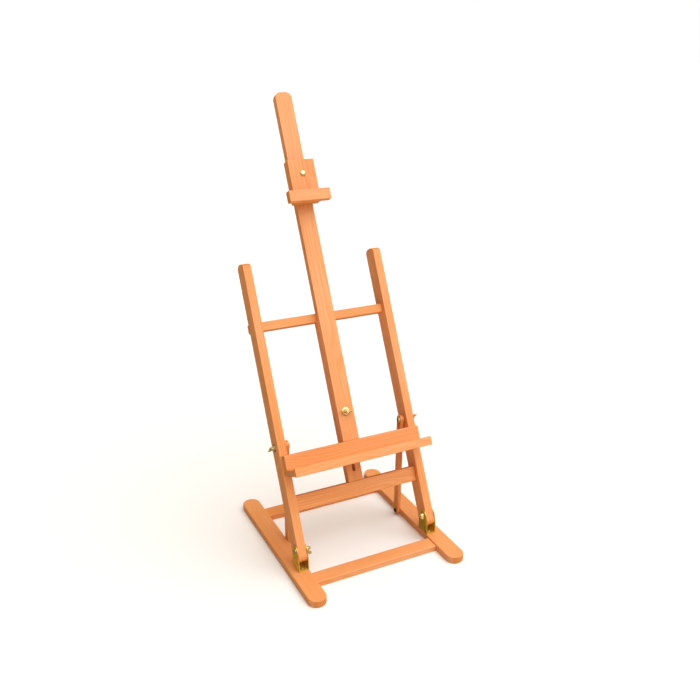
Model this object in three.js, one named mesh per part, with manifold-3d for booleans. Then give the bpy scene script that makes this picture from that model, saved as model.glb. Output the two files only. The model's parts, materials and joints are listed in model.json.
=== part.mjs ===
// A wooden tabletop artist's easel, millimetres, +Z up.
// The origin is in the middle of the footprint, on the table. -Y is the side the painter sits at.
// A flat H-shaped base carries a leaning frame on two brass hinge brackets. Two slotted struts
// hold the lean. A slotted board in the frame guides a sliding mast and a sliding canvas tray,
// and a clamp slides on the mast to hold the top edge of the canvas.

import * as THREE from "three";
import { mergeVertices } from "three/addons/utils/BufferGeometryUtils.js";
import Module from "manifold-3d";

const wasm = await Module();
wasm.setup();

// ---------------------------------------------------------------- driving dimensions

const GAP = 0.3; // clearance between pieces that touch
const SEAT = 0.1; // clearance between pieces that are screwed or glued down
const SIDES = 18; // facets of a round bolt, hole or washer

// Base
const BASE_HALF_SPAN = 150; // from the middle to the inner face of a runner
const RUNNER_WIDTH = 42;
const RUNNER_LENGTH = 440;
const RUNNER_THICK = 17;
const BASE_BAR_THICK = 14;
const FRONT_BAR_INSET = 80.7; // from the runner's front end to the bar's middle
const FRONT_BAR_WIDTH = 35.5;
const REAR_BAR_INSET = 72; // from the runner's rear end to the bar's middle
const REAR_BAR_WIDTH = 36;

// Hinge brackets
const PLATE_THICK = 2;
const BRACKET_LENGTH = 36; // front to back
const BRACKET_SHOULDER = 24; // above the runner, where the upstands start to taper
const BRACKET_ROUND = 12.5; // radius of the upstands' round tops about the pivot
const BRACKET_SCREW_SPREAD = 9; // from the bracket's middle to each screw
const PIVOT_Y = -95; // axis that the frame leans about
const PIVOT_RISE = 43.5; // of that axis above the runner

// Leaning frame, measured along its own slope: N is rearwards, U is up the slope
const LEAN = 26; // degrees back from vertical
const SLOPE_BEHIND = 6.3; // the slope's own origin, behind and below the pivot
const SLOPE_BELOW = 9;
const UPRIGHT_WIDTH = 19.6;
const UPRIGHT_DEPTH = 40;
const UPRIGHT_BOTTOM = -20;
const UPRIGHT_TOP = 649;
const UPRIGHT_ARCH = 7.5; // rise of the arched top
const UPRIGHT_HEEL = 10; // radius of the rounded front corner at the foot
const RAIL_BOTTOM = 88;
const RAIL_HEIGHT = 34;
const RAIL_THICK = 18;
const BOARD_WIDTH = 37;
const SLOT_MARGIN = 22; // board left beyond each end of its slot
const TOP_BAR_DROP = 155; // from the uprights' top to the underside of the top bar
const TOP_BAR_HEIGHT = 20;
const TOP_BAR_LAP = 9; // how far it stands out behind the uprights

// Struts
const STRUT_FOOT_Y = 19.5;
const STRUT_FOOT_DEPTH = 5.5; // of the foot's screw below the runner's top
const STRUT_FOOT_RISE = 1; // least space between the strut's foot and the table
const STRUT_THICK = 8;
const STRUT_WIDTH = 19;
const STRUT_BOLT_U = 234.5; // where the strut's bolt goes through the upright
const STRUT_OVER = 12; // wood above the bolt
const STRUT_TRAVEL = 32; // how far the bolt runs down the slot

// Tray
const TRAY_RISE = 26; // of the tray's underside above the foot of the slot
const TRAY_HEIGHT = 45.5;
const TRAY_INSET = 4; // of each end from the uprights' outer faces
const TRAY_BACK_THICK = 18.2;
const TRAY_SHELF_THICK = 14.5;
const TRAY_REACH = 62.7; // from the rear of the tray to the lip
const TRAY_LIP_THICK = 7.7;
const TRAY_LIP_HEIGHT = 19.5;
const TRAY_LIP_DROP = 0.5; // of the lip below the shelf
const TRAY_BOLT_RISE = 25; // of the stud above the tray's underside
const TRAY_STUD_SKIN = 3; // wood left in front of the stud

// Mast
const MAST_WIDTH = 40;
const MAST_THICK = 18;
const MAST_LENGTH = 814.2;
const MAST_CORNER = 14;
const MAST_BOLT_RISE = 65.9; // above the mast's lower end
const GUIDE_BOLT_RISE = 24.2;
const GUIDE_BOLT_BITE = 12; // into the mast

// Clamp
const CLAMP_WIDTH = 65;
const CLAMP_DEPTH = 23.9;
const CLAMP_HEIGHT = 99.5;
const CLAMP_LIP_WIDTH = 101;
const CLAMP_LIP_DEPTH = 18.2;
const CLAMP_LIP_HEIGHT = 26;
const CLAMP_LIP_DROP = 1; // of the lip below the block
const CLAMP_BOLT_DROP = 200.5; // of the clamp's bolt below the mast's top
const CLAMP_BOLT_RISE = 66.5; // of that bolt above the block's underside
const CLAMP_DOWN = 55; // slide on the mast, down and up
const CLAMP_UP = 23;

// Hardware
const BOLT_RADIUS = 3;
const HOLE_CLEARANCE = 0.25; // around a bolt in a plain hole
const RUNNING_CLEARANCE = 0.06; // around a bolt in a hole that turns on it
const SLOT_CLEARANCE = 0.5; // around a bolt in a guide slot
const STRUT_SLOT_CLEARANCE = 1.1; // around the bolt that runs in a strut's slot
const BOLT_THROUGH = 11; // bolt standing up through its nut
const BOLT_CHAMFER = 0.6;
const HEAD_RADIUS = 7;
const HEAD_HEIGHT = 3.7;
const WASHER_RADIUS = 9;
const WIDE_WASHER_RADIUS = 10;
const WASHER_THICK = 1.2;
const NUT_HEIGHT = 12.5;
const NUT_SPAN = 28;
const MAST_NUT_SPAN = 32;
const NUT_FOOT_RADIUS = 6;
const NUT_NECK_RADIUS = 4.6;
const NUT_HUB_HEIGHT = 7.2;
const EAR_THICK = 2.6;
const EAR_ROUND = 3.9;
const SCREW_RADIUS = 1.9;
const SCREW_CLEARANCE = 0.2;
const SCREW_HEAD_RADIUS = 3.6;
const SCREW_HEAD_HEIGHT = 1.4;
const SCREW_POINT = 4; // length of the tapered point
const BRACKET_SCREW_LENGTH = 12;
const TOP_BAR_SCREW_LENGTH = 26;
const STRUT_SCREW_RADIUS = 2.5;
const STRUT_SCREW_HEAD = 5;
const STRUT_SCREW_BITE = 18; // into the runner
const DRILLED_PAST = 2; // empty hole beyond a screw's point
const CUT = 1; // how far a cutter stands out of the wood it cuts

// Resting turn of each wing nut, degrees
const PIVOT_NUT_TURN = { left: -18, right: 90 };
const STRUT_NUT_TURN = { left: -67, right: 67 };
const MAST_NUT_TURN = -14;
const TRAY_NUT_TURN = 8;
const CLAMP_NUT_TURN = 24;

// ---------------------------------------------------------------- derived places

const HOLE_RADIUS = BOLT_RADIUS + HOLE_CLEARANCE;
const RUNNING_RADIUS = BOLT_RADIUS + RUNNING_CLEARANCE;
const SLOT_RADIUS = BOLT_RADIUS + SLOT_CLEARANCE;
const STRUT_SLOT_RADIUS = BOLT_RADIUS + STRUT_SLOT_CLEARANCE;
const PILOT_RADIUS = SCREW_RADIUS + SCREW_CLEARANCE;

const FRONT_BAR_Y = FRONT_BAR_INSET - RUNNER_LENGTH / 2;
const REAR_BAR_Y = RUNNER_LENGTH / 2 - REAR_BAR_INSET;
const PIVOT_Z = RUNNER_THICK + PIVOT_RISE;
const FRAME_Y = PIVOT_Y + SLOPE_BEHIND;
const FRAME_Z = PIVOT_Z - SLOPE_BELOW;
const BRACKET_FLOOR = RUNNER_THICK + SEAT;
const BRACKET_SCREW_SEAT = BRACKET_FLOOR + PLATE_THICK + SEAT;
const UPRIGHT_IN = BASE_HALF_SPAN + GAP + PLATE_THICK + GAP;
const UPRIGHT_OUT = UPRIGHT_IN + UPRIGHT_WIDTH;
const UPRIGHT_MIDDLE = UPRIGHT_IN + UPRIGHT_WIDTH / 2;
const BRACKET_IN = UPRIGHT_IN - GAP - PLATE_THICK;
const BRACKET_OUT = UPRIGHT_OUT + GAP + PLATE_THICK;

const RAIL_FRONT = -RAIL_THICK / 2;
const RAIL_REAR = RAIL_THICK / 2;
const RAIL_TOP = RAIL_BOTTOM + RAIL_HEIGHT;
const TOP_BAR_BOTTOM = UPRIGHT_TOP - TOP_BAR_DROP;
const TOP_BAR_MIDDLE = TOP_BAR_BOTTOM + TOP_BAR_HEIGHT / 2;
const TOP_BAR_BACK = UPRIGHT_DEPTH / 2 + TOP_BAR_LAP;
const SLOT_BOTTOM = RAIL_TOP + SLOT_MARGIN;
const SLOT_TOP = TOP_BAR_BOTTOM - SLOT_MARGIN;

const TRAY_BOTTOM = SLOT_BOTTOM + TRAY_RISE;
const TRAY_TOP = TRAY_BOTTOM + TRAY_HEIGHT;
const TRAY_REAR = -UPRIGHT_DEPTH / 2 - GAP;
const TRAY_BOARD_FRONT = TRAY_REAR - TRAY_BACK_THICK;
const TRAY_LIP_REAR = TRAY_REAR - TRAY_REACH - GAP;
const TRAY_HALF = UPRIGHT_OUT - TRAY_INSET;
const TRAY_BOLT_U = TRAY_BOTTOM + TRAY_BOLT_RISE;

const MAST_REAR = RAIL_FRONT - GAP;
const MAST_FRONT = MAST_REAR - MAST_THICK;
const MAST_BOTTOM = TRAY_TOP + GAP;
const MAST_TOP = MAST_BOTTOM + MAST_LENGTH;
const MAST_BOLT_U = MAST_BOTTOM + MAST_BOLT_RISE;
const GUIDE_BOLT_U = MAST_BOTTOM + GUIDE_BOLT_RISE;

const CLAMP_BOLT_U = MAST_TOP - CLAMP_BOLT_DROP;
const CLAMP_BOTTOM = CLAMP_BOLT_U - CLAMP_BOLT_RISE;
const CLAMP_REAR = MAST_FRONT - GAP;
const CLAMP_FRONT = CLAMP_REAR - CLAMP_DEPTH;

const STRUT_OUT = BASE_HALF_SPAN - GAP;
const STRUT_IN = STRUT_OUT - STRUT_THICK;
const STRUT_HEAD_SEAT = STRUT_IN - GAP;
const STRUT_FOOT_Z = Math.max(
  RUNNER_THICK - STRUT_FOOT_DEPTH,
  STRUT_WIDTH / 2 + STRUT_FOOT_RISE,
);
const lean = THREE.MathUtils.degToRad(LEAN);
const strutBolt = slopeToWorld(0, STRUT_BOLT_U);
const strutRun = Math.hypot(strutBolt.y - STRUT_FOOT_Y, strutBolt.z - STRUT_FOOT_Z);
const strutLean = Math.atan2(STRUT_FOOT_Y - strutBolt.y, strutBolt.z - STRUT_FOOT_Z);

function slopeToWorld(n, u) {
  const y = FRAME_Y + n * Math.cos(lean) + u * Math.sin(lean);
  const z = FRAME_Z - n * Math.sin(lean) + u * Math.cos(lean);
  return { y, z };
}

function worldToSlope(y, z) {
  const n = (y - FRAME_Y) * Math.cos(lean) - (z - FRAME_Z) * Math.sin(lean);
  const u = (y - FRAME_Y) * Math.sin(lean) + (z - FRAME_Z) * Math.cos(lean);
  return { n, u };
}

// ---------------------------------------------------------------- solids

// Turn a closed geometry into a solid that can be cut and joined.
function solid(geometry) {
  const bare = geometry.clone();
  bare.deleteAttribute("normal");
  bare.deleteAttribute("uv");
  const welded = mergeVertices(bare, 1e-4);
  const corners = welded.index.array;
  const kept = [];
  for (let i = 0; i < corners.length; i += 3) {
    const [a, b, c] = [corners[i], corners[i + 1], corners[i + 2]];
    if (a !== b && b !== c && c !== a) {
      kept.push(a, b, c);
    }
  }
  return new wasm.Manifold(
    new wasm.Mesh({
      numProp: 3,
      vertProperties: Float32Array.from(welded.attributes.position.array),
      triVerts: Uint32Array.from(kept),
    }),
  );
}

function toGeometry(body) {
  const mesh = body.getMesh();
  const geometry = new THREE.BufferGeometry();
  geometry.setAttribute(
    "position",
    new THREE.BufferAttribute(Float32Array.from(mesh.vertProperties), 3),
  );
  geometry.setIndex(new THREE.BufferAttribute(Uint32Array.from(mesh.triVerts), 1));
  geometry.computeVertexNormals();
  return geometry;
}

// A block between two corners.
function block(x0, x1, y0, y1, z0, z1) {
  const geometry = new THREE.BoxGeometry(x1 - x0, y1 - y0, z1 - z0);
  geometry.translate((x0 + x1) / 2, (y0 + y1) / 2, (z0 + z1) / 2);
  return solid(geometry);
}

// An outline drawn in YZ, extruded along X.
function prismX(shape, x0, x1, curveSegments = 12) {
  const geometry = extruded(shape, x1 - x0, curveSegments);
  const turn = new THREE.Matrix4().makeBasis(
    new THREE.Vector3(0, 1, 0),
    new THREE.Vector3(0, 0, 1),
    new THREE.Vector3(1, 0, 0),
  );
  geometry.applyMatrix4(turn);
  geometry.translate(x0, 0, 0);
  return solid(geometry);
}

// An outline drawn in XZ, extruded along Y.
function prismY(shape, y0, y1, curveSegments = 12) {
  const geometry = extruded(shape, y1 - y0, curveSegments);
  geometry.rotateX(Math.PI / 2);
  geometry.translate(0, y1, 0);
  return solid(geometry);
}

// An outline drawn in XY, extruded along Z.
function prismZ(shape, z0, z1, curveSegments = 12) {
  const geometry = extruded(shape, z1 - z0, curveSegments);
  geometry.translate(0, 0, z0);
  return solid(geometry);
}

function extruded(shape, depth, curveSegments) {
  return new THREE.ExtrudeGeometry(shape, { depth, curveSegments, bevelEnabled: false });
}

function outline(points) {
  return new THREE.Shape(points.map(([a, b]) => new THREE.Vector2(a, b)));
}

// A straight slot with round ends, upright in its own plane.
function slotOutline(centre, low, high, radius) {
  const shape = new THREE.Shape();
  shape.absarc(centre, high - radius, radius, 0, Math.PI, false);
  shape.absarc(centre, low + radius, radius, Math.PI, 2 * Math.PI, false);
  shape.closePath();
  return shape;
}

function rod(radius, length) {
  return new THREE.CylinderGeometry(radius, radius, length, SIDES);
}

function rodX(y, z, radius, x0, x1) {
  const geometry = rod(radius, x1 - x0);
  geometry.rotateZ(Math.PI / 2);
  geometry.translate((x0 + x1) / 2, y, z);
  return solid(geometry);
}

function rodY(x, z, radius, y0, y1) {
  const geometry = rod(radius, y1 - y0);
  geometry.translate(x, (y0 + y1) / 2, z);
  return solid(geometry);
}

function rodZ(x, y, radius, z0, z1) {
  const geometry = rod(radius, z1 - z0);
  geometry.rotateX(Math.PI / 2);
  geometry.translate(x, y, (z0 + z1) / 2);
  return solid(geometry);
}

// The facets of a bore stay outside its nominal radius.
function bore(radius) {
  return radius / Math.cos(Math.PI / SIDES);
}

// A profile of [radius, height] turned about Z.
function turned(profile) {
  const points = profile.map(([r, h]) => new THREE.Vector2(r, h));
  const geometry = new THREE.LatheGeometry(points, SIDES);
  geometry.rotateX(Math.PI / 2);
  return solid(geometry);
}

// ---------------------------------------------------------------- materials and placing

const WOOD = { color: 0xeb9c5c, roughness: 0.5, metalness: 0 };
const BRASS = { color: 0xd9b65c, roughness: 0.28, metalness: 1 };
const DARK_SCREW = { color: 0x5a4632, roughness: 0.5, metalness: 1 };

function piece(name, body, look) {
  const mesh = new THREE.Mesh(toGeometry(body), new THREE.MeshStandardMaterial(look));
  mesh.name = name;
  return mesh;
}

// Stand a piece that was made along +Z at a point, pointing along a direction,
// after a turn about its own axis.
function aim(mesh, x, y, z, direction, spin = 0) {
  const up = new THREE.Vector3(0, 0, 1);
  const turn = new THREE.Quaternion().setFromUnitVectors(up, new THREE.Vector3(...direction));
  const own = new THREE.Quaternion().setFromAxisAngle(up, THREE.MathUtils.degToRad(spin));
  mesh.position.set(x, y, z);
  mesh.quaternion.copy(turn.multiply(own));
  return mesh;
}

const SIDES_OF_EASEL = [
  ["left", -1],
  ["right", 1],
];

// The same block on either side: distances count outwards from the middle.
function sideRange(sign, inner, outer) {
  return sign < 0 ? [-outer, -inner] : [inner, outer];
}

// ---------------------------------------------------------------- hardware

// Dome-headed bolt: the head is above z = 0, the shank hangs below it.
function domeBolt(length, headRadius = HEAD_RADIUS, radius = BOLT_RADIUS) {
  return turned([
    [0, -length],
    [radius - BOLT_CHAMFER, -length],
    [radius, -length + BOLT_CHAMFER],
    [radius, 0],
    [headRadius, 0],
    [headRadius, HEAD_HEIGHT * 0.2],
    [headRadius * 0.8, HEAD_HEIGHT * 0.65],
    [headRadius * 0.4, HEAD_HEIGHT * 0.92],
    [0, HEAD_HEIGHT],
  ]);
}

// Low round-headed wood screw.
function woodScrew(length) {
  return turned([
    [0, -length],
    [SCREW_RADIUS, -length + SCREW_POINT],
    [SCREW_RADIUS, 0],
    [SCREW_HEAD_RADIUS, 0],
    [SCREW_HEAD_RADIUS * 0.8, SCREW_HEAD_HEIGHT * 0.7],
    [0, SCREW_HEAD_HEIGHT],
  ]);
}

// Straight stud without a head, from z = 0 down.
function stud(length) {
  return turned([
    [0, -length],
    [BOLT_RADIUS - BOLT_CHAMFER, -length],
    [BOLT_RADIUS, -length + BOLT_CHAMFER],
    [BOLT_RADIUS, 0],
    [0, 0],
  ]);
}

function washer(outer, thick = WASHER_THICK) {
  return turned([
    [0, 0],
    [outer, 0],
    [outer, thick],
    [0, thick],
  ]).subtract(rodZ(0, 0, bore(HOLE_RADIUS), -CUT, thick + CUT));
}

// Wing nut: a tapered hub on z = 0 with two ears along X.
function wingNut(span) {
  const reach = span / 2;
  const hub = turned([
    [0, 0],
    [NUT_FOOT_RADIUS, 0],
    [NUT_FOOT_RADIUS, 1.2],
    [NUT_NECK_RADIUS, NUT_HUB_HEIGHT],
    [0, NUT_HUB_HEIGHT],
  ]);
  const root = NUT_NECK_RADIUS - 1;
  const tip = reach - EAR_ROUND;
  const ear = new THREE.Shape();
  ear.moveTo(root, 1.4);
  ear.lineTo(NUT_FOOT_RADIUS, 1.4);
  ear.quadraticCurveTo(tip + 0.9, 2.6, tip + 3.3, NUT_HEIGHT - 5.4);
  ear.absarc(tip, NUT_HEIGHT - EAR_ROUND, EAR_ROUND, -0.4, 2.2, false);
  ear.quadraticCurveTo(tip - 4.5, NUT_HUB_HEIGHT - 0.6, root, NUT_HUB_HEIGHT - 1);
  ear.closePath();
  const right = prismY(ear, -EAR_THICK / 2, EAR_THICK / 2, 4);
  const left = right.mirror([1, 0, 0]);
  const thread = rodZ(0, 0, bore(RUNNING_RADIUS), -CUT, NUT_HEIGHT + CUT);
  return hub.add(right).add(left).subtract(thread);
}

// ---------------------------------------------------------------- base

// Flat runner with full-round ends, drilled for the bracket screws and the strut's screw.
function runner(sign) {
  const [x0, x1] = sideRange(sign, BASE_HALF_SPAN, BASE_HALF_SPAN + RUNNER_WIDTH);
  const radius = RUNNER_WIDTH / 2;
  const middle = (x0 + x1) / 2;
  const straight = RUNNER_LENGTH / 2 - radius;
  const plan = new THREE.Shape();
  plan.absarc(middle, straight, radius, 0, Math.PI, false);
  plan.absarc(middle, -straight, radius, Math.PI, 2 * Math.PI, false);
  plan.closePath();
  let body = prismZ(plan, 0, RUNNER_THICK, 20);
  for (const [x, y] of bracketScrewPlaces(sign)) {
    const low = BRACKET_SCREW_SEAT - BRACKET_SCREW_LENGTH - DRILLED_PAST;
    body = body.subtract(rodZ(x, y, bore(PILOT_RADIUS), low, RUNNER_THICK + CUT));
  }
  const deep = BASE_HALF_SPAN + STRUT_SCREW_BITE + DRILLED_PAST;
  const [x2, x3] = sideRange(sign, BASE_HALF_SPAN - CUT, deep);
  const hole = bore(STRUT_SCREW_RADIUS + SCREW_CLEARANCE);
  return body.subtract(rodX(STRUT_FOOT_Y, STRUT_FOOT_Z, hole, x2, x3));
}

function baseBar(y, width) {
  const half = BASE_HALF_SPAN - SEAT;
  return block(-half, half, y - width / 2, y + width / 2, 0, BASE_BAR_THICK);
}

function bracketScrewPlaces(sign) {
  return [
    [sign * UPRIGHT_MIDDLE, PIVOT_Y - BRACKET_SCREW_SPREAD],
    [sign * UPRIGHT_MIDDLE, PIVOT_Y + BRACKET_SCREW_SPREAD],
  ];
}

// U-shaped brass bracket: a floor on the runner and two upstands that taper to round tops.
function bracket(sign) {
  const [x0, x1] = sideRange(sign, BRACKET_IN, BRACKET_OUT);
  const floor = BRACKET_FLOOR;
  const shoulder = RUNNER_THICK + BRACKET_SHOULDER;
  const top = PIVOT_Z + BRACKET_ROUND;
  const half = BRACKET_LENGTH / 2;
  const front = PIVOT_Y - half;
  const rear = PIVOT_Y + half;
  const drop = PIVOT_Z - shoulder;
  const tangent = Math.acos(BRACKET_ROUND / Math.hypot(half, drop)) - Math.atan2(drop, half);
  const side = new THREE.Shape();
  side.moveTo(front, floor);
  side.lineTo(rear, floor);
  side.lineTo(rear, shoulder);
  side.absarc(PIVOT_Y, PIVOT_Z, BRACKET_ROUND, tangent, Math.PI - tangent, false);
  side.lineTo(front, shoulder);
  side.closePath();
  const inside = block(
    x0 + PLATE_THICK,
    x1 - PLATE_THICK,
    front - CUT,
    rear + CUT,
    floor + PLATE_THICK,
    top + CUT,
  );
  let body = prismX(side, x0, x1).subtract(inside);
  body = body.subtract(rodX(PIVOT_Y, PIVOT_Z, bore(HOLE_RADIUS), x0 - CUT, x1 + CUT));
  for (const [x, y] of bracketScrewPlaces(sign)) {
    const high = floor + PLATE_THICK + CUT;
    body = body.subtract(rodZ(x, y, bore(PILOT_RADIUS), floor - CUT, high));
  }
  return body;
}

function addBase(parent) {
  const pivotLength = BRACKET_OUT + SEAT - (BRACKET_IN - GAP) + BOLT_THROUGH;
  const strutScrewLength = BASE_HALF_SPAN + STRUT_SCREW_BITE - STRUT_HEAD_SEAT;
  for (const [side, sign] of SIDES_OF_EASEL) {
    parent.add(piece(`runner_${side}`, runner(sign), WOOD));
    parent.add(piece(`bracket_${side}`, bracket(sign), BRASS));
    bracketScrewPlaces(sign).forEach(([x, y], i) => {
      const name = `bracket_screw_${side}_${i + 1}`;
      const screw = piece(name, woodScrew(BRACKET_SCREW_LENGTH), BRASS);
      parent.add(aim(screw, x, y, BRACKET_SCREW_SEAT, [0, 0, 1]));
    });
    const bolt = piece(`pivot_bolt_${side}`, domeBolt(pivotLength), BRASS);
    parent.add(aim(bolt, sign * (BRACKET_OUT + SEAT), PIVOT_Y, PIVOT_Z, [sign, 0, 0]));
    const nut = piece(`pivot_nut_${side}`, wingNut(NUT_SPAN), BRASS);
    const nutSeat = sign * (BRACKET_IN - GAP);
    parent.add(aim(nut, nutSeat, PIVOT_Y, PIVOT_Z, [-sign, 0, 0], PIVOT_NUT_TURN[side]));
    const shape = domeBolt(strutScrewLength, STRUT_SCREW_HEAD, STRUT_SCREW_RADIUS);
    const foot = piece(`strut_screw_${side}`, shape, DARK_SCREW);
    const footSeat = sign * STRUT_HEAD_SEAT;
    parent.add(aim(foot, footSeat, STRUT_FOOT_Y, STRUT_FOOT_Z, [-sign, 0, 0]));
  }
  parent.add(piece("base_bar_front", baseBar(FRONT_BAR_Y, FRONT_BAR_WIDTH), WOOD));
  parent.add(piece("base_bar_rear", baseBar(REAR_BAR_Y, REAR_BAR_WIDTH), WOOD));
}

// ---------------------------------------------------------------- struts

// Slotted strut in its own upright frame: the foot's screw at 0, the slot near the round top.
function strut(sign) {
  const [x0, x1] = sideRange(sign, STRUT_IN, STRUT_OUT);
  const half = STRUT_WIDTH / 2;
  const side = new THREE.Shape();
  side.absarc(0, 0, half, Math.PI, 2 * Math.PI, false);
  side.absarc(0, strutRun + STRUT_OVER - half, half, 0, Math.PI, false);
  side.closePath();
  const slot = slotOutline(
    0,
    strutRun - STRUT_TRAVEL - STRUT_SLOT_RADIUS,
    strutRun + STRUT_SLOT_RADIUS,
    STRUT_SLOT_RADIUS,
  );
  const body = prismX(side, x0, x1, 16).subtract(prismX(slot, x0 - CUT, x1 + CUT, 10));
  const hole = bore(STRUT_SCREW_RADIUS + RUNNING_CLEARANCE);
  return body.subtract(rodX(0, 0, hole, x0 - CUT, x1 + CUT));
}

function addStrut(parent, side, sign) {
  const group = new THREE.Group();
  group.position.set(0, STRUT_FOOT_Y, STRUT_FOOT_Z);
  group.rotation.x = strutLean;
  group.add(piece(`strut_${side}`, strut(sign), WOOD));
  parent.add(group);
}

// ---------------------------------------------------------------- leaning frame

// Upright with an arched top and a rounded front corner at the foot.
function upright(sign) {
  const [x0, x1] = sideRange(sign, UPRIGHT_IN, UPRIGHT_OUT);
  const half = UPRIGHT_DEPTH / 2;
  const rise = UPRIGHT_ARCH;
  const arc = (half * half + rise * rise) / (2 * rise);
  const swing = Math.asin(half / arc);
  const corner = UPRIGHT_HEEL;
  const side = new THREE.Shape();
  side.moveTo(-half + corner, UPRIGHT_BOTTOM);
  side.lineTo(half, UPRIGHT_BOTTOM);
  side.lineTo(half, UPRIGHT_TOP - rise);
  const quarter = Math.PI / 2;
  side.absarc(0, UPRIGHT_TOP - arc, arc, quarter - swing, quarter + swing, false);
  side.lineTo(-half, UPRIGHT_BOTTOM + corner);
  side.absarc(-half + corner, UPRIGHT_BOTTOM + corner, corner, 2 * quarter, 3 * quarter, false);
  side.closePath();
  const pivot = worldToSlope(PIVOT_Y, PIVOT_Z);
  let body = prismX(side, x0, x1, 16);
  const hinge = bore(RUNNING_RADIUS);
  body = body.subtract(rodX(pivot.n, pivot.u, hinge, x0 - CUT, x1 + CUT));
  body = body.subtract(rodX(0, STRUT_BOLT_U, bore(HOLE_RADIUS), x0 - CUT, x1 + CUT));
  const deep = TOP_BAR_BACK + GAP - TOP_BAR_SCREW_LENGTH - DRILLED_PAST;
  const x = sign * UPRIGHT_MIDDLE;
  return body.subtract(rodY(x, TOP_BAR_MIDDLE, bore(PILOT_RADIUS), deep, half + CUT));
}

function lowerRail() {
  const half = UPRIGHT_IN - GAP;
  return block(-half, half, RAIL_FRONT, RAIL_REAR, RAIL_BOTTOM, RAIL_TOP);
}

// Board between the rails with the long guide slot.
function centreBoard() {
  const half = BOARD_WIDTH / 2;
  const high = TOP_BAR_BOTTOM - GAP;
  const board = block(-half, half, RAIL_FRONT, RAIL_REAR, RAIL_TOP + GAP, high);
  const slot = slotOutline(0, SLOT_BOTTOM, SLOT_TOP, SLOT_RADIUS);
  return board.subtract(prismY(slot, RAIL_FRONT - CUT, RAIL_REAR + CUT, 10));
}

// Top bar between the uprights, rebated so that its ends lap behind them.
function topBar() {
  const inner = UPRIGHT_IN - GAP;
  const front = RAIL_FRONT;
  const back = TOP_BAR_BACK;
  const step = UPRIGHT_DEPTH / 2 + GAP;
  const plan = outline([
    [-UPRIGHT_OUT, back],
    [-UPRIGHT_OUT, step],
    [-inner, step],
    [-inner, front],
    [inner, front],
    [inner, step],
    [UPRIGHT_OUT, step],
    [UPRIGHT_OUT, back],
  ]);
  let body = prismZ(plan, TOP_BAR_BOTTOM, TOP_BAR_BOTTOM + TOP_BAR_HEIGHT);
  for (const [, sign] of SIDES_OF_EASEL) {
    const x = sign * UPRIGHT_MIDDLE;
    const hole = rodY(x, TOP_BAR_MIDDLE, bore(PILOT_RADIUS), step - CUT, back + CUT);
    body = body.subtract(hole);
  }
  return body;
}

function addFrame(parent) {
  const nutSeat = UPRIGHT_OUT + WASHER_THICK + 2 * GAP;
  const boltLength = nutSeat - STRUT_HEAD_SEAT + BOLT_THROUGH;
  const spacerThick = UPRIGHT_IN - GAP - BASE_HALF_SPAN;
  for (const [side, sign] of SIDES_OF_EASEL) {
    const outward = [sign, 0, 0];
    parent.add(piece(`upright_${side}`, upright(sign), WOOD));
    const bolt = piece(`strut_bolt_${side}`, domeBolt(boltLength), BRASS);
    parent.add(aim(bolt, sign * STRUT_HEAD_SEAT, 0, STRUT_BOLT_U, [-sign, 0, 0]));
    const spacer = piece(`strut_spacer_${side}`, washer(WASHER_RADIUS, spacerThick), BRASS);
    parent.add(aim(spacer, sign * BASE_HALF_SPAN, 0, STRUT_BOLT_U, outward));
    const plate = piece(`strut_washer_${side}`, washer(WASHER_RADIUS), BRASS);
    parent.add(aim(plate, sign * (UPRIGHT_OUT + GAP), 0, STRUT_BOLT_U, outward));
    const nut = piece(`strut_nut_${side}`, wingNut(NUT_SPAN), BRASS);
    parent.add(aim(nut, sign * nutSeat, 0, STRUT_BOLT_U, outward, STRUT_NUT_TURN[side]));
    const screw = piece(`top_bar_screw_${side}`, woodScrew(TOP_BAR_SCREW_LENGTH), BRASS);
    const seat = TOP_BAR_BACK + GAP;
    parent.add(aim(screw, sign * UPRIGHT_MIDDLE, seat, TOP_BAR_MIDDLE, [0, 1, 0]));
  }
  parent.add(piece("lower_rail", lowerRail(), WOOD));
  parent.add(piece("centre_board", centreBoard(), WOOD));
  parent.add(piece("top_bar", topBar(), WOOD));
}

// ---------------------------------------------------------------- mast

// Long lath with a rounded head, slotted near the top for the clamp.
function mast() {
  const half = MAST_WIDTH / 2;
  const corner = MAST_CORNER;
  const quarter = Math.PI / 2;
  const face = new THREE.Shape();
  face.moveTo(-half, MAST_BOTTOM);
  face.lineTo(half, MAST_BOTTOM);
  face.lineTo(half, MAST_TOP - corner);
  face.absarc(half - corner, MAST_TOP - corner, corner, 0, quarter, false);
  face.absarc(-half + corner, MAST_TOP - corner, corner, quarter, 2 * quarter, false);
  face.closePath();
  const slot = slotOutline(
    0,
    CLAMP_BOLT_U - CLAMP_DOWN - SLOT_RADIUS,
    CLAMP_BOLT_U + CLAMP_UP + SLOT_RADIUS,
    SLOT_RADIUS,
  );
  const hole = bore(HOLE_RADIUS);
  const front = MAST_FRONT - CUT;
  const rear = MAST_REAR + CUT;
  let body = prismY(face, MAST_FRONT, MAST_REAR, 12);
  body = body.subtract(prismY(slot, front, rear, 10));
  body = body.subtract(rodY(0, MAST_BOLT_U, hole, front, rear));
  const deep = MAST_REAR - GUIDE_BOLT_BITE - CUT;
  return body.subtract(rodY(0, GUIDE_BOLT_U, hole, deep, rear));
}

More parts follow.
